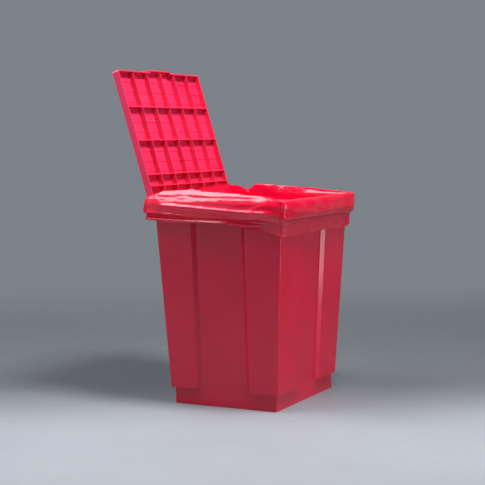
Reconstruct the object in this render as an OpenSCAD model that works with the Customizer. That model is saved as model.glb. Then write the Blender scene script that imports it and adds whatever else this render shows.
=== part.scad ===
// Free-standing dog waste bin: a tapered moulded tub with a lipped rim, a ribbed lid that
// swings on two pins at the back, and a film liner whose mouth folds out over the rim.
// Millimetres, +Z up, origin on the floor under the middle of the tub, front towards -Y.

/* [Tub] */
// Height of the rim's top above the floor
rim_h = 500; // [420:1:620]
// Width of the foot along X
foot_w = 334; // [280:1:420]
// Depth of the foot along Y
foot_d = 276; // [230:1:360]
// Height at which the corner pillars stop short of the floor
foot_h = 40; // [25:1:70]
// How far each wall leans out for each millimetre of height
wall_slope = 0.055; // [0.03:0.005:0.08]
// Thickness of the walls
wall = 3; // [2:0.5:4]
// Thickness of the floor
floor_t = 4; // [3:0.5:6]
// How far the corner pillars stand out from the middle panels
pillar_proud = 7.6; // [4:0.2:10]
// Width of the sloping step between a pillar and a panel
step_run = 10; // [6:0.5:14]
// Width of the middle panels in the two side walls
side_panel_w = 122; // [90:1:150]
// Width of the middle panels in the front and back walls
front_panel_w = 108; // [80:1:150]
// Radius of the upright corners
corner_r = 5; // [3:0.5:8]

/* [Rim] */
// Height of the raised lip above the ledge that the lid sits in
lip_h = 18; // [16:0.5:24]
// Gap from the tub's pillars to the inside of the lip
seat_w = 4; // [3:0.5:8]
// Width of the rim's flat top
rim_top_w = 11; // [10:0.5:16]
// Depth of the skirt that hangs down from the rim
skirt_h = 40; // [30:1:55]
// Radius of the rim's outer corners
rim_r = 12; // [12:0.5:20]
// Thickness of the rim, the ledge and the skirt
rim_t = 3; // [2.5:0.5:4]

/* [Lid] */
// Depth of the lid from its outer face to the edges of its ribs
lid_t = 17; // [15:0.5:22]
// Thickness of the lid's flat panel
lid_panel_t = 3; // [2:0.5:4]
// Thickness of the lid's edge walls
lid_edge_t = 3.2; // [2:0.2:4]
// Thickness of the lid's ribs
rib_t = 2.4; // [1.6:0.2:3]
// Number of columns of cells between the ribs
rib_columns = 6; // [4:1:8]
// Number of long rows of cells
long_rows = 3; // [2:1:4]
// Number of short rows of cells next to the hinge
short_rows = 3; // [2:1:4]
// Length of a long row
long_row = 83; // [70:1:88]
// Spacing of the low bars that cross the long cells
bar_pitch = 24.3; // [18:0.1:30]
// Height of the low bars
bar_h = 1.2; // [0.6:0.2:3]
// Width of the low bars
bar_w = 7; // [3:0.5:10]
// Radius of the lid's upright corners
lid_r = 5; // [4:0.5:8]
// Width of the finger tab on the free edge
tab_w = 105; // [60:1:140]
// How far the finger tab stands out
tab_out = 5; // [3:0.5:8]
// Side play between the lid and the lip
lid_play = 2; // [1.5:0.5:3]
// How far the lid leans open from closed
open_angle = 107; // [100:1:112]

/* [Hinge] */
// Distance from the middle of the bin to the middle of each hinge
hinge_x = 128; // [80:1:150]
// Length of each knuckle on the lid
knuckle_l = 30; // [20:1:40]
// Thickness of each ear on the tub
ear_t = 5; // [4:0.5:8]
// Height of the hinge axis above the ledge
axis_up = 6.4; // [6.2:0.1:7]
// Radius of a hinge pin
pin_r = 2; // [1.5:0.25:2.5]
// Running clearance around a pin
pin_gap = 0.05; // [0.02:0.01:0.1]
// Side play between a knuckle and each ear
ear_gap = 0.5; // [0.3:0.1:1]
// Radius of the head on a pin
head_r = 3.6; // [3:0.2:4.4]
// Thickness of the head on a pin
head_t = 1.5; // [1:0.25:2.5]
// Radius of the push-on washer that keeps a pin in
washer_r = 4.5; // [4:0.25:5]
// Thickness of the washer
washer_t = 0.8; // [0.5:0.1:1.5]

/* [Liner] */
// Thickness of the liner's plain stand-in
film_t = 0.8; // [0.6:0.1:1]
// Clearance around the liner and between parts that only rest on each other
rest_gap = 0.3; // [0.2:0.05:0.4]
// How far the folded mouth hangs below the rim's top
fold_h = 50; // [30:1:70]

/* [Hidden] */
tub_red = [0.74, 0.06, 0.20];
lid_red = [0.86, 0.10, 0.26];
film_red = [0.93, 0.20, 0.35];
steel = [0.78, 0.78, 0.80];

// ---- the tub ----
ledge_z = rim_h - lip_h;
foot_half = [foot_w / 2, foot_d / 2];
// Half sizes across the middle panels and across the pillars at height z above the foot
function panel_half(z) = foot_half + [1, 1] * wall_slope * (z - foot_h);
function pillar_half(z) = panel_half(z) + [1, 1] * pillar_proud;
shelf_z = foot_h + wall;
// The bends of a step shift sideways by this share when its outline grows
step_shift = tan(atan(pillar_proud / step_run) / 2);

// ---- the rim ----
lip_half = pillar_half(ledge_z) + [1, 1] * seat_w;
rim_half = lip_half + [1, 1] * rim_top_w;
skirt_z = rim_h - skirt_h;
seat_r = lid_r + lid_play;

// ---- the lid, drawn closed ----
lid_z = ledge_z + 2 * rest_gap + film_t + 0.1;
lid_half_w = lip_half[0] - lid_play;
lid_front_y = lid_play - lip_half[1];
axis_y = pillar_half(ledge_z)[1];
axis_z = ledge_z + axis_up;
top_over_axis = lid_z + lid_t - axis_z;
// The lid's tail stops just short of the ledge when the lid leans open
lean = open_angle - 90;
lid_tail = (axis_up - rest_gap - top_over_axis * sin(lean)) / cos(lean);
lid_back_y = axis_y + lid_tail;
lid_depth = lid_back_y - lid_front_y;
cell_front_y = lid_front_y + lid_edge_t;
column_w = 2 * lid_half_w / rib_columns;
long_zone = long_rows * long_row;
short_row = (lid_depth - 2 * lid_edge_t - long_zone) / (short_rows + 0.25);
cross_rib_y = concat(
    [for (i = [1:long_rows]) cell_front_y + i * long_row],
    [for (i = [1:short_rows]) cell_front_y + long_zone + i * short_row]
);

// ---- the hinge ----
knuckle_r = axis_up - 0.8;
bore_r = pin_r + pin_gap;
ear_start = knuckle_l / 2 + ear_gap;
hinge_half = ear_start + ear_t;
end_gap = 0.1;
pin_end = hinge_half + 2 * end_gap + washer_t + 1.5;
notch_r = axis_up + 0.7;
notch_half = pin_end + 1;

// ---- the liner ----
bag_gap = wall + rest_gap;
fold_z = rim_h - fold_h;
over = 1;

// ---- outlines ----
function corner_arc(cx, cy, r, from) = [
    for (a = [from:18:from + 90]) [cx + r * cos(a), cy + r * sin(a)]
];
function round_plan(half, r) = concat(
    corner_arc(half[0] - r, half[1] - r, r, 0),
    corner_arc(r - half[0], half[1] - r, r, 90),
    corner_arc(r - half[0], r - half[1], r, 180),
    corner_arc(half[0] - r, r - half[1], r, 270)
);
// Plan across the pillars or across the panels at height z, grown by g
function pillar_plan(z, g) = round_plan(pillar_half(z) + [g, g], corner_r + g);
function panel_plan(z, g) = round_plan(panel_half(z) + [g, g], max(corner_r + g, 1));
// Plan of the recess in front of a panel: mid and out are the panel's and the pillars' distances
function recess_plan(mid, out, half_w) = [
    [out + over, -half_w - step_run],
    [out + over, half_w + step_run],
    [out, half_w + step_run],
    [mid, half_w],
    [mid, -half_w],
    [out, -half_w - step_run]
];

// ---- building blocks ----
// A closed solid skinned between two outlines that have the same number of points
module skin(low, low_z, high, high_z) {
    n = len(low);
    points = concat([for (p = low) [p[0], p[1], low_z]], [for (p = high) [p[0], p[1], high_z]]);
    sides = [for (i = [0:n - 1]) [i, n + i, n + (i + 1) % n, (i + 1) % n]];
    polyhedron(
        points = points,
        faces = concat([[for (i = [0:n - 1]) i]], sides, [[for (i = [n - 1:-1:0]) n + i]]),
        convexity = 6
    );
}

// An upright block with rounded corners
module slab(half, r, z0, z1) {
    hx = half[0] - r;
    hy = half[1] - r;
    translate([0, 0, z0]) linear_extrude(z1 - z0) {
        square([2 * half[0], 2 * hy], center = true);
        square([2 * hx, 2 * half[1]], center = true);
        for (sx = [-1, 1], sy = [-1, 1]) translate([sx * hx, sy * hy]) circle(r, $fn = 48);
    }
}

// A block between two corners
module block(low, high) {
    translate(low) cube(high - low);
}

// A round bar along X around the hinge axis, from x0 to x1
module axis_bar(r, x0, x1) {
    translate([x0, axis_y, axis_z]) rotate([0, 90, 0]) cylinder(h = x1 - x0, r = r, $fn = 64);
}

// The space inside the lip, grown by g: open to the back, with a pocket for the finger tab
module seat(g, z0, z1) {
    side = lip_half[0] + g;
    pocket = tab_w / 2 + lid_play + g;
    slab(lip_half + [g, g], seat_r + g, z0, z1);
    block([-side, 0, z0], [side, rim_half[1] + over, z1]);
    block([-pocket, -lip_half[1] - tab_out - 1.5 * g, z0], [pocket, 0, z1]);
}

// ---- the tub ----
// The recesses in front of the four middle panels, between two heights, grown by g
module recesses(g, z0, z1) {
    low = panel_half(z0) + [g, g];
    high = panel_half(z1) + [g, g];
    widths = [side_panel_w, front_panel_w] / 2 - [1, 1] * g * step_shift;
    for (k = [0:3]) rotate(90 * k) {
        i = k % 2;
        skin(
            recess_plan(low[i], low[i] + pillar_proud, widths[i]), z0,
            recess_plan(high[i], high[i] + pillar_proud, widths[i]), z1
        );
    }
}

// The tub's form from one height to another, grown by g
module pillared(g, z0, z1) {
    difference() {
        skin(pillar_plan(z0, g), z0, pillar_plan(z1, g), z1);
        recesses(g, z0 - over, z1 + over);
    }
}

module tub_outside() {
    skin(panel_plan(foot_h, 0), 0, panel_plan(foot_h, 0), foot_h);
    pillared(0, foot_h, ledge_z - 1);
}

module tub_inside() {
    skin(panel_plan(foot_h, -wall), floor_t, panel_plan(foot_h, -wall), shelf_z + 0.01);
    pillared(-wall, shelf_z, ledge_z + over);
}

module rim() {
    inset = [rim_t, rim_t];
    difference() {
        slab(rim_half, rim_r, skirt_z, rim_h);
        difference() {
            slab(rim_half - inset, rim_r - rim_t, skirt_z - over, rim_h - rim_t);
            seat(rim_t, ledge_z - rim_t, rim_h);
        }
        seat(0, ledge_z, rim_h + over);
    }
}

module ear(x0) {
    axis_bar(axis_up, x0, x0 + ear_t);
    block([x0, axis_y - wall, ledge_z - 1], [x0 + ear_t, axis_y + wall, axis_z]);
}

module tub() {
    color(tub_red) difference() {
        union() {
            tub_outside();
            rim();
            for (side = [-1, 1]) {
                ear(side * hinge_x + ear_start);
                ear(side * hinge_x - ear_start - ear_t);
            }
        }
        tub_inside();
        for (side = [-1, 1]) {
            axis_bar(bore_r, side * hinge_x - hinge_half - over, side * hinge_x + hinge_half + over);
        }
    }
}

// ---- the lid ----
module lid_block(inset, z0, z1) {
    half_d = lid_depth / 2 - inset;
    mid_y = (lid_back_y + lid_front_y) / 2;
    translate([0, mid_y, 0]) slab([lid_half_w - inset, half_d], max(1, lid_r - inset), z0, z1);
}

module lid_shell() {
    panel_z = lid_z + lid_t - lid_panel_t;
    tab_half = tab_w / 2;
    difference() {
        union() {
            lid_block(0, lid_z, lid_z + lid_t);
            block([-tab_half, lid_front_y - tab_out, lid_z], [tab_half, 0, lid_z + lid_t]);
        }
        lid_block(lid_edge_t, lid_z - over, panel_z);
        pocket_half = tab_half - lid_edge_t;
        block(
            [-pocket_half, lid_front_y - tab_out + lid_edge_t, lid_z - over],
            [pocket_half, 0, panel_z]
        );
    }
}

module lid_ribs() {
    inside_w = lid_half_w - 1;
    panel_z = lid_z + lid_t - lid_panel_t;
    back_y = lid_back_y - 1;
    for (i = [1:rib_columns - 1]) {
        x = i * column_w - lid_half_w;
        block([x - rib_t / 2, lid_front_y + 1, lid_z], [x + rib_t / 2, back_y, panel_z + 1]);
    }
    for (y = cross_rib_y) block([-inside_w, y - rib_t / 2, lid_z], [inside_w, y + rib_t / 2, panel_z + 1]);
    for (y = [cell_front_y + bar_pitch - bar_w:bar_pitch:cell_front_y + long_zone - bar_w]) {
        block([-inside_w, y - bar_w / 2, panel_z - bar_h], [inside_w, y + bar_w / 2, panel_z + 1]);
    }
}

module knuckle(x) {
    x0 = x - knuckle_l / 2;
    x1 = x + knuckle_l / 2;
    axis_bar(knuckle_r, x0, x1);
    block([x0, axis_y - knuckle_r, axis_z], [x1, lid_back_y, lid_z + lid_t - 1]);
}

module lid_closed() {
    difference() {
        union() {
            difference() {
                union() {
                    lid_shell();
                    lid_ribs();
                }
                for (side = [-1, 1]) {
                    axis_bar(notch_r, side * hinge_x - notch_half, side * hinge_x + notch_half);
                }
            }
            for (side = [-1, 1]) knuckle(side * hinge_x);
        }
        for (side = [-1, 1]) {
            axis_bar(bore_r, side * hinge_x - notch_half, side * hinge_x + notch_half);
        }
    }
}

module lid() {
    color(lid_red)
        translate([0, axis_y, axis_z])
        rotate([-open_angle, 0, 0])
        translate([0, -axis_y, -axis_z])
        lid_closed();
}

// ---- the hinge pins, their heads outwards, and the washers on their inner ends ----
module hinge_pin(side) {
    color(steel) translate([side * hinge_x, axis_y, axis_z]) rotate([0, side * 90, 0]) {
        translate([0, 0, -pin_end]) cylinder(h = pin_end + hinge_half + end_gap, r = pin_r, $fn = 48);
        translate([0, 0, hinge_half + end_gap]) cylinder(h = head_t, r = head_r, $fn = 48);
    }
}

module pin_washer(side) {
    color(steel) translate([side * hinge_x, axis_y, axis_z]) rotate([0, -side * 90, 0])
        translate([0, 0, hinge_half + end_gap])
        difference() {
            cylinder(h = washer_t, r = washer_r, $fn = 48);
            translate([0, 0, -over]) cylinder(h = washer_t + 2 * over, r = pin_r + 0.02, $fn = 48);
        }
}

// ---- the liner: a plain bag inside the tub with its mouth folded out over the rim ----
module bag(g, bottom_z, top_z) {
    skin(panel_plan(foot_h, -g), bottom_z, panel_plan(foot_h, -g), shelf_z);
    skin(panel_plan(foot_h, -g), shelf_z - 0.01, panel_plan(top_z, -g), top_z);
}

module fold() {
    out = rest_gap + film_t;
    difference() {
        slab(rim_half + [out, out], rim_r + out, fold_z, rim_h + out);
        slab(rim_half + [rest_gap, rest_gap], rim_r + rest_gap, fold_z - over, ledge_z - over);
        difference() {
            slab(rim_half + [rest_gap, rest_gap], rim_r + rest_gap, ledge_z - over - 0.01, rim_h + rest_gap);
            seat(-rest_gap, ledge_z + rest_gap, rim_h + over);
        }
        seat(-out, ledge_z + out, rim_h + 2 * over);
    }
}

module liner() {
    out = rest_gap + film_t;
    back_y = axis_y - notch_r - rest_gap;
    clear_half = lip_half[0] - out;
    color(film_red) difference() {
        union() {
            bag(bag_gap, floor_t + rest_gap, ledge_z + out);
            fold();
        }
        bag(bag_gap + film_t, floor_t + out, ledge_z + out + over);
        block([-clear_half, back_y, fold_z - over], [clear_half, rim_half[1] + 2 * over, rim_h + 2 * over]);
    }
}

tub();
lid();
hinge_pin(-1);  // hinge_pin_left
hinge_pin(1);  // hinge_pin_right
pin_washer(-1);  // pin_washer_left
pin_washer(1);  // pin_washer_right
liner();
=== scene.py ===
"""The looks of the waste bin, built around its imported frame."""

import math

import bmesh
import bpy
import numpy as np
from mathutils import Matrix, Vector


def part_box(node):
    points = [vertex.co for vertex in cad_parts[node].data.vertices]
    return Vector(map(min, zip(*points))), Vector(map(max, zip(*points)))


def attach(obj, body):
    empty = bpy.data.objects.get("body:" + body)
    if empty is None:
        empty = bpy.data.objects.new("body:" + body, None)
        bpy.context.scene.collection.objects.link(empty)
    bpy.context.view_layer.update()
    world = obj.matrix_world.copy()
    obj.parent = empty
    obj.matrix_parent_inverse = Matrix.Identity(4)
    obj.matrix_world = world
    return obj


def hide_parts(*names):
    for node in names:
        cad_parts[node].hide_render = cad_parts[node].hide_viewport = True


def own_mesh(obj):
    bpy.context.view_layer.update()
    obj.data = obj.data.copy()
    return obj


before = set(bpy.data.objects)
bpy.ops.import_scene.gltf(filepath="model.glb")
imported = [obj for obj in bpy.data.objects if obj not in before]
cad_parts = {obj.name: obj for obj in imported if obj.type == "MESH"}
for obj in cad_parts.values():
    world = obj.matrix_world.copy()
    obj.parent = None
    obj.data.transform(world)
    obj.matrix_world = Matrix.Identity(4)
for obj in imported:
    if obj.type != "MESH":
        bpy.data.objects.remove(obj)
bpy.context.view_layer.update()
MM = 0.001


def node_box(name):
    """A CAD node's lowest and highest corners in millimetres."""
    low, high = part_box(name)
    return np.array(low) * 1000, np.array(high) * 1000


# ---- sizes read from the frame, and the few that it doesn't show (mm) ----
# The rim's half sizes and top, its corner radius, the ledge inside it and the skirt's lower edge
RIM_X, RIM_Y, RIM_Z = node_box("tub")[1]
RIM_R = 12.0
SEAT_Z = RIM_Z - 18.0
SKIRT_Z = RIM_Z - 40.0
# The top of the foot, the panels' half sizes there, and how far they lean out for each mm up
FOOT_Z = 40.0
FOOT_X, FOOT_Y = 167.0, 138.0
SLOPE = 0.055
# How far the pillars stand proud of the panels
PROUD = 7.6
# The lip's inner face, in from the rim's outer one, and the pocket in it for the lid's finger tab
LIP_IN = 11.6
TAB_HALF = 54.2
TAB_DEEP = 5.0
# The bag's distance inside the panels' outer faces
BAG_IN = 3.9
# The lid's pivot, and its lean back from upright
HINGE_Y, HINGE_Z = 169.9, 488.4
LEAN = math.radians(17.0)


# ---- smooth seeded noise ----
def value_noise(x, y, seed):
    """Smooth noise from -1 to 1 on arrays of points, the same at every run."""
    x, y = np.broadcast_arrays(np.asarray(x, float), np.asarray(y, float))
    xi, yi = np.floor(x).astype(np.int64), np.floor(y).astype(np.int64)
    fx, fy = x - xi, y - yi
    fx, fy = (t * t * t * (t * (t * 6 - 15) + 10) for t in (fx, fy))

    def corner(i, j):
        h = (i * 374761393 + j * 668265263 + seed * 974711) & 0xFFFFFFFF
        h = ((h ^ (h >> 13)) * 1274126177) & 0xFFFFFFFF
        h = (h ^ (h >> 16)) & 0xFFFFFFFF
        return h / 2147483647.5 - 1.0

    low = corner(xi, yi) * (1 - fx) + corner(xi + 1, yi) * fx
    high = corner(xi, yi + 1) * (1 - fx) + corner(xi + 1, yi + 1) * fx
    return low * (1 - fy) + high * fy


def ridged(x, y, seed, octaves=3):
    """Noise with sharp crests, from about 0 to 1, for creased film."""
    total, gain = 0.0, 1.0
    for k in range(octaves):
        n = value_noise(x * 2**k, y * 2**k, seed + 17 * k)
        total = total + gain * (1 - np.abs(n)) ** 3
        gain *= 0.5
    return total / 1.75


def smooth_step(a, b, x):
    t = np.clip((np.asarray(x, float) - a) / (b - a), 0, 1)
    return t * t * (3 - 2 * t)


def bump_at(x, centre, width):
    return np.exp(-(((np.asarray(x, float) - centre) / width) ** 2))


# ---- mesh helpers ----
def mesh_object(name, points_mm, faces):
    """A smooth-shaded object from points in millimetres."""
    mesh = bpy.data.meshes.new(name)
    mesh.from_pydata([tuple(p) for p in np.asarray(points_mm) * MM], [], faces)
    mesh.validate()
    mesh.polygons.foreach_set("use_smooth", [True] * len(mesh.polygons))
    mesh.update()
    obj = bpy.data.objects.new(name, mesh)
    bpy.context.scene.collection.objects.link(obj)
    return obj


def grid_faces(rows, columns, closed, start=0):
    """Quads between rows of points, each row closed into a ring or not."""
    faces = []
    for j in range(rows - 1):
        for i in range(columns if closed else columns - 1):
            k = (i + 1) % columns
            a, b = start + j * columns, start + (j + 1) * columns
            faces.append((a + i, a + k, b + k, b + i))
    return faces


# The lid's ends and cross ribs, measured up the lid from its hinge (mm): as drawn in the CAD,
# and as they stand in the photograph
RIBS_DRAWN = [-6.0, 12.0, 34.8, 62.2, 89.6, 172.6, 255.6, 337.0, 347.0]
RIBS_SEEN = [-6.0, 12.0, 22.0, 46.0, 75.0, 162.5, 248.5, 337.0, 347.0]


def ribs_as_seen(mesh):
    """Slides the lid's points up or down its own plane, so its ribs stand as in the photograph."""
    up = np.array([0.0, math.sin(LEAN), math.cos(LEAN)])
    points = np.zeros(len(mesh.vertices) * 3)
    mesh.vertices.foreach_get("co", points)
    points = points.reshape(-1, 3) / MM
    w = (points - np.array([0.0, HINGE_Y, HINGE_Z])) @ up
    points += (np.interp(w, RIBS_DRAWN, RIBS_SEEN) - w)[:, None] * up
    mesh.vertices.foreach_set("co", (points * MM).ravel())
    mesh.update()


# Faces that meet at less than this are one face, and a face with a normal this upright is level
FLAT_ANGLE = math.radians(0.4)
LEVEL = 0.999


def softened(node, name, width_mm, segments=2, angle=25.0):
    """A copy of a CAD node with its arrises rounded off, standing for the node."""
    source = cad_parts[node]
    mesh = source.data.copy()
    mesh.materials.clear()
    obj = bpy.data.objects.new(name, mesh)
    bpy.context.scene.collection.objects.link(obj)
    bm = bmesh.new()
    bm.from_mesh(mesh)
    bmesh.ops.remove_doubles(bm, verts=bm.verts, dist=2e-6)
    # The tub's level faces are rings round a hole, which one many-sided face can't show, so
    # they stay in triangles
    bm.normal_update()
    rings = set()
    if node == "tub":
        rings = {e for e in bm.edges if all(abs(f.normal.z) > LEVEL for f in e.link_faces)}
    bmesh.ops.dissolve_limit(
        bm,
        angle_limit=FLAT_ANGLE,
        verts=[],
        edges=[e for e in bm.edges if e not in rings],
        use_dissolve_boundaries=False,
    )
    bm.to_mesh(mesh)
    bm.free()
    if node == "lid":
        ribs_as_seen(mesh)
    if mesh.attributes.get("custom_normal"):
        mesh.attributes.remove(mesh.attributes["custom_normal"])
    mesh.polygons.foreach_set("use_smooth", [True] * len(mesh.polygons))
    bevel = obj.modifiers.new("bevel", "BEVEL")
    bevel.width = width_mm * MM
    bevel.segments = segments
    bevel.limit_method = "ANGLE"
    bevel.angle_limit = math.radians(angle)
    bevel.use_clamp_overlap = True
    bevel.harden_normals = False
    weighted = obj.modifiers.new("weighted", "WEIGHTED_NORMAL")
    weighted.keep_sharp = True
    weighted.weight = 80
    bpy.context.view_layer.update()
    graph = bpy.context.evaluated_depsgraph_get()
    final = bpy.data.meshes.new_from_object(obj.evaluated_get(graph), depsgraph=graph)
    obj.modifiers.clear()
    obj.data = final
    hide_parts(node)
    return obj


# ---- materials ----
class Nodes:
    """Small helper that adds and links shader nodes."""

    def __init__(self, name):
        self.material = bpy.data.materials.new(name)
        self.material.use_nodes = True
        self.tree = self.material.node_tree
        self.shader = self.tree.nodes["Principled BSDF"]
        self.coords = self.add("ShaderNodeTexCoord")

    def add(self, kind, **values):
        node = self.tree.nodes.new(kind)
        for key, value in values.items():
            if hasattr(node, key):
                setattr(node, key, value)
            else:
                node.inputs[key.replace("_", " ")].default_value = value
        return node

    def link(self, source, target):
        self.tree.links.new(source, target)

    def stretched(self, scale):
        """Object coordinates scaled differently along each axis."""
        mapping = self.add("ShaderNodeMapping")
        mapping.inputs["Scale"].default_value = scale
        self.link(self.coords.outputs["Object"], mapping.inputs["Vector"])
        return mapping.outputs["Vector"]

    def noise(self, scale, detail=3.0, vector=None, rough=0.5):
        node = self.add("ShaderNodeTexNoise")
        node.inputs["Scale"].default_value = scale
        node.inputs["Detail"].default_value = detail
        node.inputs["Roughness"].default_value = rough
        self.link(vector or self.coords.outputs["Object"], node.inputs["Vector"])
        return node.outputs["Fac"]

    def ramp(self, value, low, high, low_colour, high_colour):
        """One colour below low, another above high, and a blend between."""
        node = self.add("ShaderNodeValToRGB")
        node.color_ramp.elements[0].position = low
        node.color_ramp.elements[1].position = high
        node.color_ramp.elements[0].color = (*low_colour, 1)
        node.color_ramp.elements[1].color = (*high_colour, 1)
        self.link(value, node.inputs["Fac"])
        return node.outputs["Color"]

    def to_range(self, value, low, high):
        """A 0 to 1 value stretched to run from low to high."""
        node = self.add("ShaderNodeMapRange")
        node.inputs["To Min"].default_value = low
        node.inputs["To Max"].default_value = high
        self.link(value, node.inputs["Value"])
        return node.outputs["Result"]

    def mix(self, factor, a, b):
        """A blend of two colours, each a socket or a plain colour."""
        node = self.add("ShaderNodeMix", data_type="RGBA")
        inputs = [s for s in node.inputs if s.enabled]
        for socket, value in zip(inputs, (factor, a, b)):
            if isinstance(value, bpy.types.NodeSocket):
                self.link(value, socket)
            elif isinstance(value, tuple):
                socket.default_value = (*value, 1)
            else:
                socket.default_value = value
        return [s for s in node.outputs if s.enabled][0]

    def bump(self, heights, strength, distance):
        """Bump from several (height, share) pairs added together."""
        total = None
        for height, share in heights:
            scaled = self.add("ShaderNodeMath", operation="MULTIPLY")
            self.link(height, scaled.inputs[0])
            scaled.inputs[1].default_value = share
            if total is None:
                total = scaled.outputs[0]
            else:
                added = self.add("ShaderNodeMath", operation="ADD")
                self.link(total, added.inputs[0])
                self.link(scaled.outputs[0], added.inputs[1])
                total = added.outputs[0]
        node = self.add("ShaderNodeBump")
        node.inputs["Strength"].default_value = strength
        node.inputs["Distance"].default_value = distance
        self.link(total, node.inputs["Height"])
        self.link(node.outputs["Normal"], self.shader.inputs["Normal"])
        return node.outputs["Normal"]


def scuffed_plastic(name, light, dark, roughness, streaks):
    """Gloss moulded plastic: cloudy colour, drag lines from the mould, grain and rubbed spots."""
    m = Nodes(name)
    cloud = m.noise(7.0, 4.0)
    drag = m.noise(1.0, 4.0, m.stretched((900.0, 900.0, 6.0)), 0.6)
    grain = m.noise(1500.0, 2.0)
    scuff = m.noise(60.0, 6.0, m.stretched((1.0, 1.0, 0.25)), 0.7)
    body = m.ramp(cloud, 0.3, 0.7, dark, light)
    worn = m.ramp(scuff, 0.58, 0.86, (0, 0, 0), (1, 1, 1))
    pale = tuple(min(1.0, 0.82 * c + 0.05) for c in light)
    m.link(m.mix(m.to_range(worn, 0.0, 0.25), body, pale), m.shader.inputs["Base Color"])
    rough = m.add("ShaderNodeMath", operation="ADD")
    m.link(m.to_range(cloud, roughness * 0.75, roughness * 1.25), rough.inputs[0])
    m.link(m.to_range(worn, 0.0, 0.16), rough.inputs[1])
    m.link(rough.outputs[0], m.shader.inputs["Roughness"])
    m.shader.inputs["Specular IOR Level"].default_value = 0.5
    m.shader.inputs["IOR"].default_value = 1.5
    swell = m.noise(18.0, 2.0)
    m.bump([(drag, streaks), (grain, 0.05), (scuff, 0.12), (swell, 1.2)], 0.35, 0.0006)
    return m.material


def steel(name):
    """Bright drawn steel with turning marks and a little tarnish."""
    m = Nodes(name)
    marks = m.noise(1.0, 3.0, m.stretched((4000.0, 300.0, 300.0)))
    tarnish = m.noise(400.0, 4.0)
    colour = m.ramp(tarnish, 0.35, 0.7, (0.36, 0.35, 0.34), (0.62, 0.62, 0.63))
    m.link(colour, m.shader.inputs["Base Color"])
    m.shader.inputs["Metallic"].default_value = 1.0
    m.link(m.to_range(tarnish, 0.42, 0.2), m.shader.inputs["Roughness"])
    m.bump([(marks, 1.0)], 0.3, 0.00005)
    return m.material


# The share of the light on the film that comes through it
THROUGH_SHARE = 0.3


def film(name):
    """Thin glossy sack film: crimson, lit through from behind, with fine stretch lines."""
    m = Nodes(name)
    cloud = m.noise(22.0, 4.0)
    fine = m.noise(240.0, 4.0, m.stretched((1.0, 1.0, 2.5)), 0.6)
    stretch = m.noise(1.0, 3.0, m.stretched((40.0, 40.0, 420.0)))
    colour = m.ramp(cloud, 0.3, 0.75, (0.80, 0.002, 0.042), (0.92, 0.005, 0.060))
    m.link(colour, m.shader.inputs["Base Color"])
    m.link(m.to_range(cloud, 0.12, 0.2), m.shader.inputs["Roughness"])
    m.shader.inputs["Specular IOR Level"].default_value = 0.5
    m.shader.inputs["Coat Weight"].default_value = 0.75
    m.shader.inputs["Coat Roughness"].default_value = 0.03
    normal = m.bump([(fine, 0.5), (stretch, 0.8), (m.noise(90.0, 3.0), 1.0)], 0.4, 0.0005)
    through = m.add("ShaderNodeBsdfTranslucent")
    through.inputs["Color"].default_value = (1.0, 0.006, 0.07, 1)
    m.link(normal, through.inputs["Normal"])
    both = m.add("ShaderNodeMixShader")
    both.inputs[0].default_value = THROUGH_SHARE
    m.link(m.shader.outputs[0], both.inputs[1])
    m.link(through.outputs[0], both.inputs[2])
    m.link(both.outputs[0], m.tree.nodes["Material Output"].inputs["Surface"])
    return m.material


TUB = scuffed_plastic(
    "tub_gloss_plastic",
    light=(0.58, 0.0040, 0.038),
    dark=(0.51, 0.0028, 0.029),
    roughness=0.15,
    streaks=0.5,
)
# The lid is the tub's plastic in brighter, pinker colours: painted light for the extra light that
# falls on its ribbed face.
LID = scuffed_plastic(
    "lid_plastic_painted_brighter",
    light=(0.74, 0.025, 0.090),
    dark=(0.66, 0.016, 0.072),
    roughness=0.3,
    streaks=0.1,
)
STEEL = steel("pin_steel")
FILM = film("liner_film")


# ---- the rigid parts ----
def dressed(obj, material, body):
    """Gives a piece its material and, where one is named, the body that it rides on."""
    obj.data.materials.clear()
    obj.data.materials.append(material)
    if body:
        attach(obj, body)
    return obj


dressed(softened("tub", "tub_moulding", 1.0, 3), TUB, "tub")
dressed(softened("lid", "lid_moulding", 0.5, 2), LID, "lid")
for pin_node in ("hinge_pin_left", "hinge_pin_right", "pin_washer_left", "pin_washer_right"):
    dressed(softened(pin_node, pin_node + "_steel", 0.2, 2, 40.0), STEEL, "tub")


# ---- the way round the rim: a rounded rectangle followed by its length ----
# The lengths of the straight runs and corners in order: half the back from its middle towards
# -X, a corner, the left side, a corner, the front, a corner, the right side, a corner, and the
# back's other half
LENGTHS = np.array([
    RIM_X - RIM_R,
    math.pi / 2 * RIM_R,
    2 * (RIM_Y - RIM_R),
    math.pi / 2 * RIM_R,
    2 * (RIM_X - RIM_R),
    math.pi / 2 * RIM_R,
    2 * (RIM_Y - RIM_R),
    math.pi / 2 * RIM_R,
    RIM_X - RIM_R,
])
STARTS = np.concatenate([[0.0], np.cumsum(LENGTHS)])
ROUND = STARTS[-1]
BACK_L, LEFT, NEAR, FRONT, FAR, RIGHT, BACK_R = STARTS[1:8]
LAST_RUN = len(LENGTHS) - 1


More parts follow.
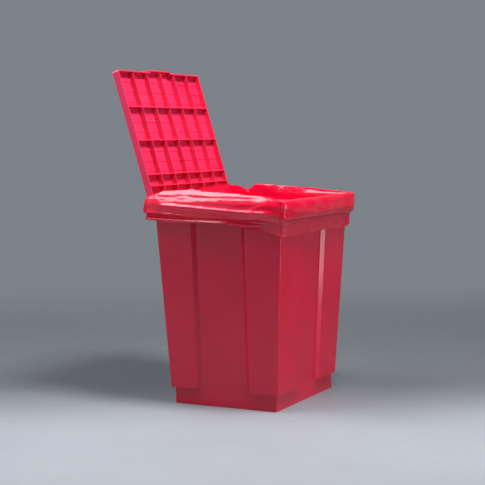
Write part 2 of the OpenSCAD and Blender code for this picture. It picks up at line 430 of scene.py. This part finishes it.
def on_outline(s, half_x, half_y, r):
    """Points at length s round an outline with these half sizes and corner radius."""
    s, half_x, half_y, r = np.broadcast_arrays(s, half_x, half_y, r)
    s = np.clip(s, 0, ROUND - 1e-6)
    run = np.clip(np.searchsorted(STARTS, s, side="right") - 1, 0, LAST_RUN)
    t = (s - STARTS[run]) / LENGTHS[run]
    x, y = np.zeros(s.shape), np.zeros(s.shape)
    ix, iy = half_x - r, half_y - r
    ends = {
        0: (0 * ix, half_y, -ix, half_y),
        2: (-half_x, iy, -half_x, -iy),
        4: (-ix, -half_y, ix, -half_y),
        6: (half_x, -iy, half_x, iy),
        8: (ix, half_y, 0 * ix, half_y),
    }
    for k, (x0, y0, x1, y1) in ends.items():
        at = run == k
        x[at] = (x0 + (x1 - x0) * t)[at]
        y[at] = (y0 + (y1 - y0) * t)[at]
    corners = {1: (-1, 1, 90), 3: (-1, -1, 180), 5: (1, -1, 270), 7: (1, 1, 0)}
    for k, (sx, sy, turn) in corners.items():
        at = run == k
        angle = np.radians(turn + 90 * t)
        x[at] = (sx * ix + r * np.cos(angle))[at]
        y[at] = (sy * iy + r * np.sin(angle))[at]
    return x, y


def along(s):
    """The rim's x and y at length s, to shape the film by."""
    return on_outline(s, RIM_X, RIM_Y, RIM_R)


def spaced(a, b, step):
    """Lengths from a up to b, about a step apart, without b itself."""
    return list(np.linspace(a, b, max(2, int(round((b - a) / step)) + 1))[:-1])


# Columns of film points round the rim: how far apart on a straight run, and at a corner
STEP = 3.0
CORNER_STEP = 1.9
COLUMNS = []
for k in range(len(LENGTHS)):
    COLUMNS += spaced(STARTS[k], STARTS[k + 1], CORNER_STEP if k % 2 else STEP)
COLUMNS = np.array(COLUMNS)

# The film's sections from inside the lip, over the rim and down outside, each point as
# (mm out from the rim's face, z), and the lengths round the rim where each one stands
SEAT_RING_Z = SEAT_Z + 0.9
INNER = [(-11.55, 491.0), (-11.5, 499.3)]
SIDE = INNER + [
    (-9.6, 504.0), (-4.5, 507.4), (4.0, 506.4), (8.0, 500.0), (9.2, 491.0),
    (8.4, 481.0), (7.2, 473.0), (6.4, 466.0), (6.4, 459.5), (6.8, 454.0), (5.6, 449.5),
    (5.0, 448.0),
]
BULGE = INNER + [
    (-9.6, 505.0), (-4.0, 508.0), (4.2, 506.0), (8.6, 499.5), (10.0, 490.0),
    (9.8, 481.0), (8.6, 473.5), (7.4, 467.5), (7.4, 462.0), (7.8, 458.0), (6.6, 455.0),
    (6.0, 454.2),
]
SIDE_NEAR = INNER + [
    (-9.6, 503.0), (-4.5, 504.6), (2.0, 502.8), (6.2, 497.0), (7.6, 488.5),
    (7.2, 479.0), (5.8, 470.0), (3.8, 462.0), (-2.0, 455.0), (-10.5, 449.0),
    (-13.4, 441.0), (-13.8, 432.0),
]
CORNER = INNER + [
    (-9.8, 500.9), (-4.5, 501.8), (1.2, 500.6), (3.4, 496.0), (4.4, 488.0),
    (4.2, 478.0), (2.6, 468.0), (1.4, 460.5), (-4.0, 454.0), (-10.0, 446.0),
    (-10.6, 434.0), (-10.6, 417.5),
]
FRONT_ROLL = INNER + [
    (-9.6, 502.4), (-4.0, 504.2), (1.6, 502.4), (5.2, 497.0), (6.8, 488.0),
    (6.4, 476.5), (4.0, 466.0), (-1.5, 458.0), (-10.5, 452.5), (-13.2, 446.0),
    (-13.6, 434.0), (-13.8, 419.0),
]
FRONT_END = INNER + [
    (-9.6, 502.8), (-4.0, 504.6), (1.0, 503.6), (3.2, 498.0), (4.0, 488.0),
    (3.6, 475.0), (2.6, 465.0), (-2.0, 456.5), (-11.5, 449.5), (-13.8, 443.0),
    (-13.8, 431.0), (-13.8, 416.5),
]
FAR_CORNER = INNER + [
    (-9.6, 503.2), (-4.0, 504.8), (0.6, 503.0), (2.4, 498.0), (3.0, 488.0),
    (2.8, 475.0), (1.6, 464.0), (-3.0, 456.5), (-8.5, 450.0), (-10.4, 444.0),
    (-10.6, 434.0), (-10.6, 424.0),
]
BACK_END = INNER + [
    (-9.6, 504.0), (-4.4, 507.5), (2.2, 504.5), (6.0, 497.5), (7.4, 490.0),
    (7.2, 482.0), (6.2, 475.5), (5.4, 470.0), (5.2, 465.0), (5.4, 461.0), (4.6, 458.6),
    (4.2, 458.0),
]
LEFT_LEN = LENGTHS[2]
FRONT_LEN = LENGTHS[4]
STATIONS = [
    (BACK_L, BACK_END),
    (LEFT + 4, BULGE),
    (LEFT + 0.16 * LEFT_LEN, SIDE),
    (LEFT + 0.55 * LEFT_LEN, SIDE),
    (LEFT + 0.86 * LEFT_LEN, SIDE_NEAR),
    (NEAR + 9, CORNER),
    (FRONT + 0.10 * FRONT_LEN, FRONT_ROLL),
    (FRONT + 0.60 * FRONT_LEN, FRONT_ROLL),
    (FRONT + 0.93 * FRONT_LEN, FRONT_END),
    (FAR + 9, FAR_CORNER),
    (RIGHT + 0.12 * LEFT_LEN, SIDE_NEAR),
    (RIGHT + 0.40 * LEFT_LEN, SIDE),
    (RIGHT + 0.84 * LEFT_LEN, SIDE),
    (BACK_R + 9, BACK_END),
    (STARTS[8], BACK_END),
]


# How far the mouth stands up above a plain roll, as (y, height) along each side
RAISED_LEFT = [
    (172, 4), (150, 12), (137, 17), (97, 18), (65, 20.5), (29, 15.5), (-6, 14),
    (-60, 11.5), (-118, 9), (-155, 6), (-173, 1),
]
RAISED_RIGHT = [
    (-173, 1), (-120, 5), (-65, 8.5), (20, 13), (75, 17), (99, 16), (114, 5),
    (126, 3.5), (146, 13), (172, 14),
]


def raised(s):
    """The height to add to the mouth's ridge at length s."""
    y = along(s)[1]
    left = np.interp(-y, [-place for place, _ in RAISED_LEFT], [up for _, up in RAISED_LEFT])
    right = np.interp(y, [place for place, _ in RAISED_RIGHT], [up for _, up in RAISED_RIGHT])
    on_left = 1 - smooth_step(NEAR + 2, NEAR + 14, s)
    on_right = smooth_step(FAR + 4, FAR + 16, s)
    # Smoothed over a few columns, so that the listed heights don't show as bends
    kernel = np.hanning(7) / np.hanning(7).sum()
    lifted = np.pad(left * on_left + right * on_right, 3, mode="edge")
    return np.convolve(lifted, kernel, mode="valid")


def catmull(values, position):
    """A smooth curve through equally spaced values (last axis), at these positions."""
    n = values.shape[-1]
    k = np.clip(np.floor(position).astype(int), 0, n - 2)
    t = position - k
    a, b, c, d = (values[..., np.clip(k + i, 0, n - 1)] for i in (-1, 0, 1, 2))
    square = (2 * a - 5 * b + 4 * c - d) * t**2
    cube = (3 * b - a - 3 * c + d) * t**3
    return 0.5 * (2 * b + (c - a) * t + square + cube)


# ---- the sack: bag, seat, and the mouth rolled out over the rim, in one loft ----
def bag_rows():
    """Rows of the sack inside the tub, bottom seam first: x, y and z for every column."""
    rows = []
    s = COLUMNS
    tube = s / ROUND
    # The bottom, which widens from the seam (0) towards the walls (1)
    for f in (0.0, 0.12, 0.25, 0.4, 0.55, 0.7, 0.83):
        hx = 118 + (138 - 118) * f
        hy = 0.05 + 111.95 * f
        x, y = on_outline(s, hx, hy, 0.35 * hy)
        pucker = ridged(tube * 26, np.full(s.shape, 1.7 + f), 5) - 0.4
        z = 6.2 + 3.2 * (1 - f) + 5.0 * pucker * (0.3 + f) * (1.1 - f)
        rows.append((x, y, np.maximum(z, 5.0)))
    # The walls, which hang in long folds that run out towards the ledge
    heights = [9, 14, 22, 32, 44, 58, 75] + list(np.arange(92, 470, 11.5)) + [472.0, 477.0, 480.5]
    for z in heights:
        lean = max(z - FOOT_Z, 0.0) * SLOPE
        up = smooth_step(5, 70, z)
        lift = smooth_step(380, 478, z)
        tuck = 24 * (1 - up)
        hx = FOOT_X + lean - BAG_IN - tuck
        hy = FOOT_Y + lean - BAG_IN - tuck
        r = 34 - 24 * lift
        folds = ridged(tube * 38 + 0.5 * value_noise(tube * 9, z / 260, 3), z / 520.0, 11, 2)
        crimp = ridged(tube * 70 + z / 150.0, z / 90.0, 37, 3) - 0.4
        broad = 0.5 + 0.5 * value_noise(tube * 17, z / 160.0, 23)
        slack = 6.0 * broad + 25.0 * (1 - folds) * (0.4 + 0.6 * broad)
        inward = (1 - lift) * slack + 2.0 * lift * (1 - folds)
        inward = np.maximum(inward - 2.2 * crimp * (1 - 0.6 * lift), 0.0)
        x, y = on_outline(s, hx - inward, hy - inward, np.maximum(r - 0.6 * inward, 4))
        uneven = 1.5 * (1 - lift) * value_noise(tube * 30, z / 60, 31)
        rows.append((x, y, np.full(s.shape, float(z)) + uneven))
    return rows


def seat_rows():
    """Rows over the ledge, below the closed lid's underside."""
    s = COLUMNS
    rows = []
    py = along(s)[1]
    for f in (0.25, 0.6, 1.0):
        hx = (FOOT_X + (SEAT_Z - FOOT_Z) * SLOPE - BAG_IN) * (1 - f) + (RIM_X - LIP_IN) * f
        front_y = (FOOT_Y + (SEAT_Z - FOOT_Z) * SLOPE - BAG_IN) * (1 - f) + (RIM_Y - LIP_IN) * f
        x, y = on_outline(s, hx, front_y, 10 * (1 - f) + 1.5 * f)
        # Short of the hinge at the back, and into the tab's pocket at the front
        y = np.minimum(y, 158.4 + 3.2 * f)
        tab = (np.abs(x) < TAB_HALF) & (y < 0)
        y = np.where(tab, y - TAB_DEEP * f, y)
        # Out of the closed lid's way at the back corners
        back_corner = (py > 150) & (np.abs(x) > 198)
        x = np.where(back_corner, np.sign(x) * ((1 - f) * np.abs(x) + f * 203.6), x)
        rows.append((x, y, np.full(s.shape, SEAT_Z + 0.3 + 0.6 * smooth_step(0, 1, f))))
    return rows


# How many points each section is drawn with
ROWS_OUT = 96


def mouth_rows(s_all):
    """Rows from the seat over the rim and down outside, for all columns but the back's."""
    where = np.array([a for a, _ in STATIONS])
    table = np.array([p for _, p in STATIONS], float)
    pick = np.clip(np.searchsorted(where, s_all, side="right") - 1, 0, len(where) - 2)
    t = np.clip((s_all - where[pick]) / (where[pick + 1] - where[pick]), 0, 1)
    t = t * t * (3 - 2 * t)
    t = t[:, None, None]
    section = table[pick] * (1 - t) + table[pick + 1] * t
    first = np.tile([[-LIP_IN, SEAT_RING_Z]], (len(s_all), 1))[:, None, :]
    section = np.concatenate([first, section], axis=1)
    # Points 3 to 6 of each section make the mouth's ridge, and take their shares of its height
    lift = raised(s_all)
    for k, up, back in ((3, 0.55, 0.05), (4, 1.0, 0.17), (5, 0.22, 0.02), (6, 0.03, 0.0)):
        section[:, k, 1] += up * lift
        section[:, k, 0] -= back * lift
    # Towards the front of the far side the mouth leans out instead
    y = along(s_all)[1]
    flared = smooth_step(FAR + 30, FAR + 60, s_all) * (1 - smooth_step(-60, -28, y))
    flared += 0.6 * smooth_step(FAR + 60, FAR + 90, s_all) * bump_at(y, 22, 14)
    section[:, 3, 0] += 2.0 * flared
    section[:, 4, 0] += 8.0 * flared
    section[:, 5, 0] += 3.0 * flared
    v = np.linspace(0, section.shape[1] - 1, ROWS_OUT)
    out = catmull(section[:, :, 0], v)
    z = catmull(section[:, :, 1], v)
    return v, out, z


def crease(distance, width):
    """A sharp crest with soft skirts, 1 at the line itself."""
    return 1 / (1 + (distance / width) ** 2)


# The dip in the mouth near the back of the far side, measured along that side from its front
NOTCH_FROM_FRONT = 172.9 + 118


def wrinkled(s, v, out, z):
    """The mouth's sections with tension folds, streaks, puckers and crumples added."""
    x, y = along(s)
    S, X, Y = (values[:, None] + 0 * z for values in (s, x, y))
    # Shares, from 0 to 1: the outside of the roll, its top, and each of the three sides
    outside = smooth_step(4.6, 6.2, v)[None, :] + 0 * z
    over = (smooth_step(2.0, 3.2, v) * (1 - smooth_step(5.0, 6.5, v)))[None, :] + 0 * z

    def between(a, b, c, d):
        return (smooth_step(a, b, s) * (1 - smooth_step(c, d, s)))[:, None]

    left = between(LEFT - 10, LEFT + 14, NEAR - 6, NEAR + 4)
    front = between(FRONT - 4, FRONT + 8, FAR - 8, FAR + 4)
    right = between(RIGHT - 10, RIGHT + 14, BACK_R - 14, BACK_R + 4)
    side = left + right
    # How far the film is pushed out along its own normal
    h = 0 * z
    # Long folds pulled tight along the two sides, sloping down to the front: height at y 0,
    # slope, how far they stand out, their width, and the y that they run from and to
    for z0, slope, lift, width, a, b in (
        (481.6, 0.058, 5.8, 3.8, -172, 160),
        (454.6, 0.123, 3.8, 3.0, 20, 230),
        (496.5, 0.020, 0.8, 3.0, -120, 120),
        (462.5, 0.050, 1.6, 1.8, -120, 80),
    ):
        fade = smooth_step(a, a + 40, Y) * (1 - smooth_step(b - 40, b, Y))
        wander = 1.6 * value_noise(Y / 70, z0, 41)
        h += side * outside * fade * lift * crease(z - (z0 + slope * Y + wander), width)
    # A deep tuck above the hem on the sides, under which the hem rolls out
    hem = 449.5 + 0.045 * Y
    fade = smooth_step(-150, -90, Y)
    h -= side * outside * fade * 5.5 * crease(z - (hem + 7.0), 3.4)
    h += side * outside * fade * 1.6 * crease(z - (hem + 0.5), 1.2)
    # The front roll: one soft horizontal swell with shallow diagonal pulls
    pull = value_noise((X + 1.6 * z) / 46, z / 26, 47)
    h += front * outside * 1.5 * pull * smooth_step(462, 474, z)
    h += front * outside * 1.4 * crease(z - (468.5 + 0.03 * X), 3.0)
    h += front * outside * 1.8 * crease(z - (450.0 + 4.0 * value_noise(X / 60, 3.0, 53)), 2.0)
    # Loose wrinkles everywhere, longer along the rim than across it
    long_wrinkles = ridged(S / 90, z / 17 + 0.9 * value_noise(S / 90, 0.3, 59), 61, 3)
    h += outside * (1.5 - 0.9 * front) * (long_wrinkles - 0.35)
    h += outside * (0.5 - 0.25 * front) * (ridged(S / 30, z / 8, 67, 3) - 0.35)
    h += over * 1.5 * (ridged(S / 70, v[None, :] * 0.7, 71, 3) - 0.3)
    near_edge = left * over * smooth_step(-150, -60, Y)
    h += near_edge * 1.3 * (ridged(S / 34 + z / 24, z / 20, 137, 3) - 0.35)
    edge_line = 508.0 + 0.02 * Y + 2.0 * value_noise(Y / 40, 0.7, 139)
    h -= near_edge * 2.6 * crease(z - edge_line, 1.6)
    # Gathers and crumples near the corners, running up and down
    for at, strength in ((BACK_L + 8, 2.6), (NEAR + 9, 3.0), (FAR + 9, 1.6), (BACK_R + 9, 2.6)):
        near = bump_at(S, at, 24)
        gathers = ridged(S / 11 + 0.5 * value_noise(S / 20, z / 22, 73), z / 46, 79, 3) - 0.4
        h += strength * near * outside * gathers
        h += 0.6 * strength * near * over * gathers
    notch = bump_at(S, RIGHT + NOTCH_FROM_FRONT, 13)
    h += (over + 0.6 * outside) * notch * 3.4 * (ridged(S / 9 + z / 30, z / 16, 97, 3) - 0.35)
    # The upright crease just round the near corner, and the tuft below it
    upright = smooth_step(450, 462, z) * (1 - smooth_step(498, 504, z))
    h -= outside * 7.0 * crease(S - (NEAR + 3.0), 2.0) * upright
    h += outside * 2.4 * crease(S - (NEAR + 9.0), 2.2) * upright
    tuft = bump_at(S, NEAR + 10, 9) * (1 - smooth_step(448, 456, z))
    h += outside * tuft * (3.0 + 5.0 * (ridged(S / 7, z / 12, 83, 2) - 0.3))
    crumple = ridged(S / 4.5 + 0.4 * value_noise(S / 9, z / 9, 109), z / 9, 113, 3) - 0.35
    h += outside * bump_at(S, NEAR + 10, 8) * bump_at(z, 438, 17) * 4.5 * crumple
    # Crumples in the raised mouth of the far side, and where it meets the lid on the near side
    loose = right * bump_at(Y, -8, 52) * smooth_step(503, 507, z)
    h += loose * 3.2 * (ridged(S / 15 + z / 13, z / 15, 127, 3) - 0.35)
    h += left * over * bump_at(Y, 158, 13) * 3.0 * (ridged(S / 8, z / 10, 131, 3) - 0.3)
    # Lower tier: faint upright pulls
    low = 1 - smooth_step(444, 452, z)
    h += outside * low * 1.0 * (ridged(S / 38, z / 70, 89, 2) - 0.3)
    # Normal of the section, to push the film along
    d_out = np.gradient(out, axis=1)
    d_z = np.gradient(z, axis=1)
    size = np.maximum(np.hypot(d_out, d_z), 1e-6)
    out = out + h * (-d_z / size)
    z = z + h * (d_out / size)
    return out, z


def lie_outside(v, out, z):
    """The film kept off the rim's top, lip, skirt and the walls under them."""
    wall_gap = (RIM_X - (FOOT_X + PROUD)) - SLOPE * (z - FOOT_Z)
    # 0.9 mm off the skirt, and below it 1 mm off the pillars
    beside = z > SKIRT_Z - 0.8
    outer = np.where(beside, 0.9, np.maximum(0.9 - 1.4 * (SKIRT_Z - 0.8 - z), 1.0 - wall_gap))
    is_out = (v > 5.2)[None, :]
    out = np.where(is_out, np.maximum(out, outer), out)
    on_top = ((v > 2.4) & (v <= 5.4))[None, :] & (out < 1.2)
    z = np.where(on_top, np.maximum(z, RIM_Z + 0.7), z)
    inside = (v <= 2.4)[None, :]
    out = np.where(inside, np.clip(out, -11.8, -11.45), out)
    return out, z


def liner():
    """The whole sack: the bag, its seat on the ledge, and the mouth rolled out over the rim."""
    rows = bag_rows() + seat_rows()
    points = [np.stack(r, axis=1) for r in rows]
    n = len(COLUMNS)
    faces = grid_faces(len(points), n, True)
    points = np.concatenate(points)
    ring = len(points) - n
    use = np.where((COLUMNS >= BACK_L - 0.01) & (COLUMNS <= STARTS[8] + 0.01))[0]
    s = COLUMNS[use]
    v, out, z = mouth_rows(s)
    out, z = wrinkled(s, v, out, z)
    out, z = lie_outside(v, out, z)
    # The hanging part runs on round the back corners, under the open lid
    drop = smooth_step(6.0, 11.0, v)[None, :]
    from_start = (1 - smooth_step(0, 60, s - s[0]))[:, None]
    from_end = (1 - smooth_step(0, 60, s[-1] - s))[:, None]
    S = s[:, None] + 46 * drop * (from_start * -1 + from_end)
    x, y = on_outline(S, RIM_X + out, RIM_Y + out, np.maximum(RIM_R + out, 0.6))
    tab = ((np.abs(x) < TAB_HALF) & (y < 0)) * 1.0
    y = y - TAB_DEEP * tab * (1 - smooth_step(2.2, 3.4, v))[None, :]
    # Up the lip, the sections start from the seat's edge and swing to the rim's own outline
    start = points[ring:][use]
    blend = (1 - smooth_step(0.0, 1.6, v))[None, :]
    x = x * (1 - blend) + start[:, 0][:, None] * blend
    y = y * (1 - blend) + start[:, 1][:, None] * blend
    mouth = np.stack([x, y, z], axis=2)[:, 1:, :]
    m = mouth.shape[1]
    base = len(points)
    points = np.concatenate([points, mouth.reshape(-1, 3)])
    for a in range(len(use) - 1):
        i, k = use[a], use[a + 1]
        faces.append((ring + i, ring + k, base + (a + 1) * m, base + a * m))
        for j in range(m - 1):
            p, q = base + a * m + j, base + (a + 1) * m + j
            faces.append((p, q, q + 1, p + 1))
    return mesh_object("liner_sack", points, faces)


sack = liner()
dressed(sack, FILM, None)
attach(sack, "tub")
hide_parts("liner")


# ---- the sack's mouth standing up in front of the lid ----
def back_flap():
    """The film that stands in front of the open lid."""
    half_width = 201.5
    foot_y, foot_z = 161.9, 483.0
    xs = np.linspace(-half_width, half_width, 150)
    vs = np.linspace(0, 1, 26)
    X, V = np.meshgrid(xs, vs, indexing="ij")
    # The upper edge rises to +X, dips at both ends, and has a thin upright wrinkle near -X
    top = 520.0 + 7.0 * smooth_step(-20, 185, xs) + 1.5 * value_noise(xs / 38, 0.5, 101)
    top -= 6.0 * bump_at(xs, -203, 12) + 6.0 * bump_at(xs, 203, 10)
    top += 9.0 * bump_at(xs, -186, 2.6) + 2.0 * bump_at(xs, -168, 7)
    Z = foot_z + (top[:, None] - foot_z) * V
    lean = np.maximum(Z - 486.0, 0) * math.tan(LEAN)
    puff = 2.2 * ridged(X / 70 + 0.4 * Z / 40, Z / 26, 103, 3) + 3.0 * bump_at(X, -60, 70) * V
    puff += 1.6 * ridged(X / 16, Z / 40, 107, 2) * (bump_at(X, -190, 26) + bump_at(X, 190, 30))
    Y = foot_y + lean - puff * smooth_step(0, 0.25, V)
    # The mouth's edge curls forward a little
    Y -= 2.6 * smooth_step(0.86, 1.0, V)
    flap = np.stack([X, Y, Z], axis=2).reshape(-1, 3)
    faces = grid_faces(len(xs), len(vs), False)
    return mesh_object("liner_mouth_back", flap, faces)


flap = back_flap()
dressed(flap, FILM, None)
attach(flap, "tub")
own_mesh(flap)


# ---- floor, lights and camera ----
# The way the camera looks, the backdrop's colour, and the dim room's round about
VIEW_X, VIEW_Y = 0.89, 0.455
BACKDROP = (0.20, 0.225, 0.25)
SHADE = (0.060, 0.066, 0.075)


def ground_material():
    """Pale paper that darkens behind the object, then fades into the backdrop like a sweep."""
    m = Nodes("pale_floor")
    cloud = m.noise(3.0, 4.0)
    paper = m.ramp(cloud, 0.3, 0.7, (0.240, 0.256, 0.284), (0.262, 0.278, 0.308))
    rear_paper = m.ramp(cloud, 0.3, 0.7, (0.100, 0.107, 0.120), (0.110, 0.117, 0.130))
    m.link(m.to_range(m.noise(30.0, 3.0), 0.5, 0.62), m.shader.inputs["Roughness"])
    along_view = m.add("ShaderNodeVectorMath", operation="DOT_PRODUCT")
    m.link(m.coords.outputs["Object"], along_view.inputs[0])
    along_view.inputs[1].default_value = (VIEW_X, VIEW_Y, 0)

    def graded(near, far):
        node = m.add("ShaderNodeMapRange", interpolation_type="SMOOTHSTEP")
        node.inputs["From Min"].default_value = near
        node.inputs["From Max"].default_value = far
        m.link(along_view.outputs["Value"], node.inputs["Value"])
        return node.outputs["Result"]

    m.link(m.mix(graded(-0.45, 0.2), paper, rear_paper), m.shader.inputs["Base Color"])
    glow = m.add("ShaderNodeEmission")
    glow.inputs["Color"].default_value = (*BACKDROP, 1)
    both = m.add("ShaderNodeMixShader")
    m.link(graded(0.3, 2.4), both.inputs[0])
    m.link(m.shader.outputs[0], both.inputs[1])
    m.link(glow.outputs[0], both.inputs[2])
    m.link(both.outputs[0], m.tree.nodes["Material Output"].inputs["Surface"])
    return m.material


REACH = 14000.0
floor = mesh_object(
    "studio_floor",
    [(-REACH, -REACH, 0), (REACH, -REACH, 0), (REACH, REACH, 0), (-REACH, REACH, 0)],
    [(0, 1, 2, 3)],
)
floor.data.materials.append(ground_material())


def area_light(name, place, target, size_x, size_y, power, colour=(1, 1, 1), gloss=True):
    """A soft light that the camera doesn't see. Without gloss it leaves no highlight."""
    data = bpy.data.lights.new(name, "AREA")
    data.shape = "RECTANGLE"
    data.size, data.size_y = size_x, size_y
    data.energy = power
    data.color = colour
    obj = bpy.data.objects.new(name, data)
    bpy.context.scene.collection.objects.link(obj)
    obj.location = place
    obj.rotation_euler = (Vector(target) - Vector(place)).to_track_quat("-Z", "Y").to_euler()
    obj.visible_camera = False
    obj.visible_glossy = gloss


COOL = (0.93, 0.96, 1.0)
COOLER = (0.9, 0.95, 1.0)
area_light("key_over", (-0.35, -0.75, 2.6), (0, 0.15, 0.6), 0.6, 0.6, 100)
area_light("front_strip", (-0.22, -1.46, 0.41), (0.05, 0, 0.40), 0.30, 0.78, 4.6)
area_light("top_soft", (-0.75, 1.15, 2.4), (-0.1, 0, 0.5), 1.7, 1.5, 64, COOL)
area_light("side_card", (-1.65, 1.25, 0.87), (-0.2, 0.1, 0.80), 1.3, 1.7, 3.4, COOLER)
area_light("front_right_fill", (0.7, -2.7, 1.2), (0, 0, 0.40), 1.2, 1.2, 15, gloss=False)
area_light("left_fill", (-2.4, 0.6, 1.3), (0, 0, 0.35), 1.2, 1.2, 5, gloss=False)
area_light("rear_fill", (2.2, 1.9, 1.5), (0, 0, 0.3), 1.4, 1.4, 9, gloss=False)


def studio_world():
    """A room that is dim round about, with the backdrop lit behind the object."""
    world = bpy.data.worlds.new("studio")
    world.use_nodes = True
    tree = world.node_tree
    coords = tree.nodes.new("ShaderNodeTexCoord")
    facing = tree.nodes.new("ShaderNodeVectorMath")
    facing.operation = "DOT_PRODUCT"
    facing.inputs[1].default_value = (VIEW_X, VIEW_Y, 0)
    tree.links.new(coords.outputs["Generated"], facing.inputs[0])
    ramp = tree.nodes.new("ShaderNodeValToRGB")
    ramp.color_ramp.interpolation = "EASE"
    ramp.color_ramp.elements[0].position = 0.5
    ramp.color_ramp.elements[0].color = (*SHADE, 1)
    ramp.color_ramp.elements[1].position = 0.93
    ramp.color_ramp.elements[1].color = (*BACKDROP, 1)
    tree.links.new(facing.outputs["Value"], ramp.inputs["Fac"])
    background = tree.nodes["Background"]
    tree.links.new(ramp.outputs["Color"], background.inputs["Color"])
    return world


bpy.context.scene.world = studio_world()

# The photograph's view, from a fit to the tub's and lid's edges
FOCAL_PX = 1277.1
FRAME_PX = 485.0
SENSOR = 36.0
EYE = (-2.8531, -1.4212, 0.6515)
YAW, PITCH, ROLL = (math.radians(a) for a in (62.999, 4.752, -0.625))

camera_data = bpy.data.cameras.new("camera")
camera_data.sensor_width = SENSOR
camera_data.lens = FOCAL_PX / FRAME_PX * SENSOR
camera_data.clip_end = 50
camera = bpy.data.objects.new("camera", camera_data)
bpy.context.scene.collection.objects.link(camera)
ahead = Vector((
    math.sin(YAW) * math.cos(PITCH),
    math.cos(YAW) * math.cos(PITCH),
    -math.sin(PITCH),
))
level = Vector((math.cos(YAW), -math.sin(YAW), 0))
upward = level.cross(ahead)
right_axis = level * math.cos(ROLL) + upward * math.sin(ROLL)
up_axis = upward * math.cos(ROLL) - level * math.sin(ROLL)
turn = Matrix((right_axis, up_axis, -ahead)).transposed()
camera.matrix_world = Matrix.Translation(EYE) @ turn.to_4x4()
bpy.context.scene.camera = camera
bpy.context.scene.view_settings.view_transform = "Standard"
